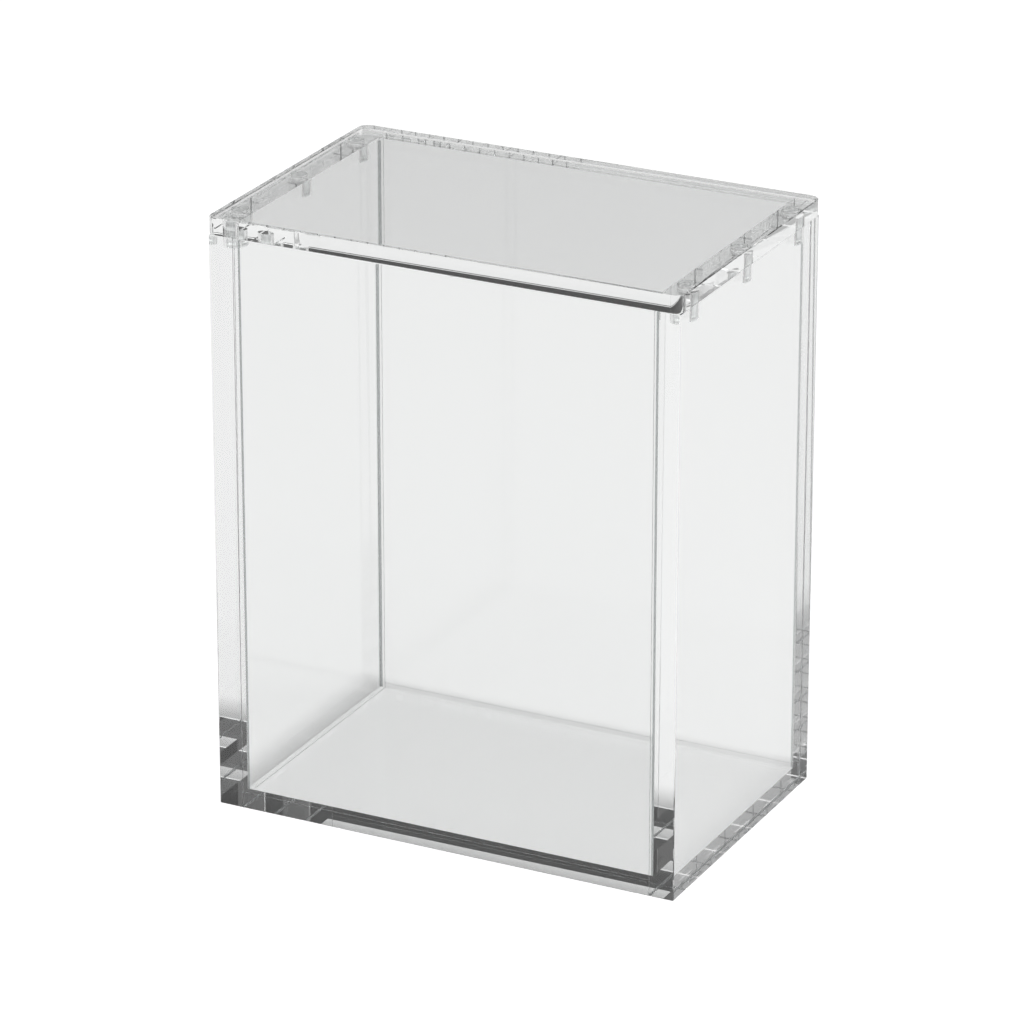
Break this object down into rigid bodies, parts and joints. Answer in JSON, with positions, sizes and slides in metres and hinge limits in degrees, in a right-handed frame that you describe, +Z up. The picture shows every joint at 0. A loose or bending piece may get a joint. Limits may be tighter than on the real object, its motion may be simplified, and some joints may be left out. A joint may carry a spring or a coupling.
{
  "type": "acrylic display case",
  "caption": "Upright clear acrylic box with a loose flat lid, located by short clear pins that drop into sockets in the side walls, for showing a collectable dust-free.",
  "frame": {"origin": "middle of the footprint, on the surface that the case stands on", "axes": "+Z up, the way the lid lifts; the wide front faces -Y; +X to the right seen from the front"},
  "size_m": [0.14, 0.089, 0.1721],
  "materials": {
    "clear_sheet": "clear cast acrylic sheet, polished faces and edges",
    "clear_rod": "clear acrylic rod, polished side and cut ends"
  },
  "bodies": {
    "case": {"base_panel": "clear_sheet", "front_panel": "clear_sheet", "back_panel": "clear_sheet", "left_panel": "clear_sheet", "right_panel": "clear_sheet"},
    "lid": {"lid_panel": "clear_sheet", "lid_pin_left_front": "clear_rod", "lid_pin_left_middle": "clear_rod", "lid_pin_left_rear": "clear_rod", "lid_pin_right_front": "clear_rod", "lid_pin_right_middle": "clear_rod", "lid_pin_right_rear": "clear_rod"}
  },
  "joints": [
    {"name": "lid_lift", "type": "slide", "parent": "case", "child": "lid", "axis": [0, 0, 1], "range_m": [0, 0.18]}
  ]
}
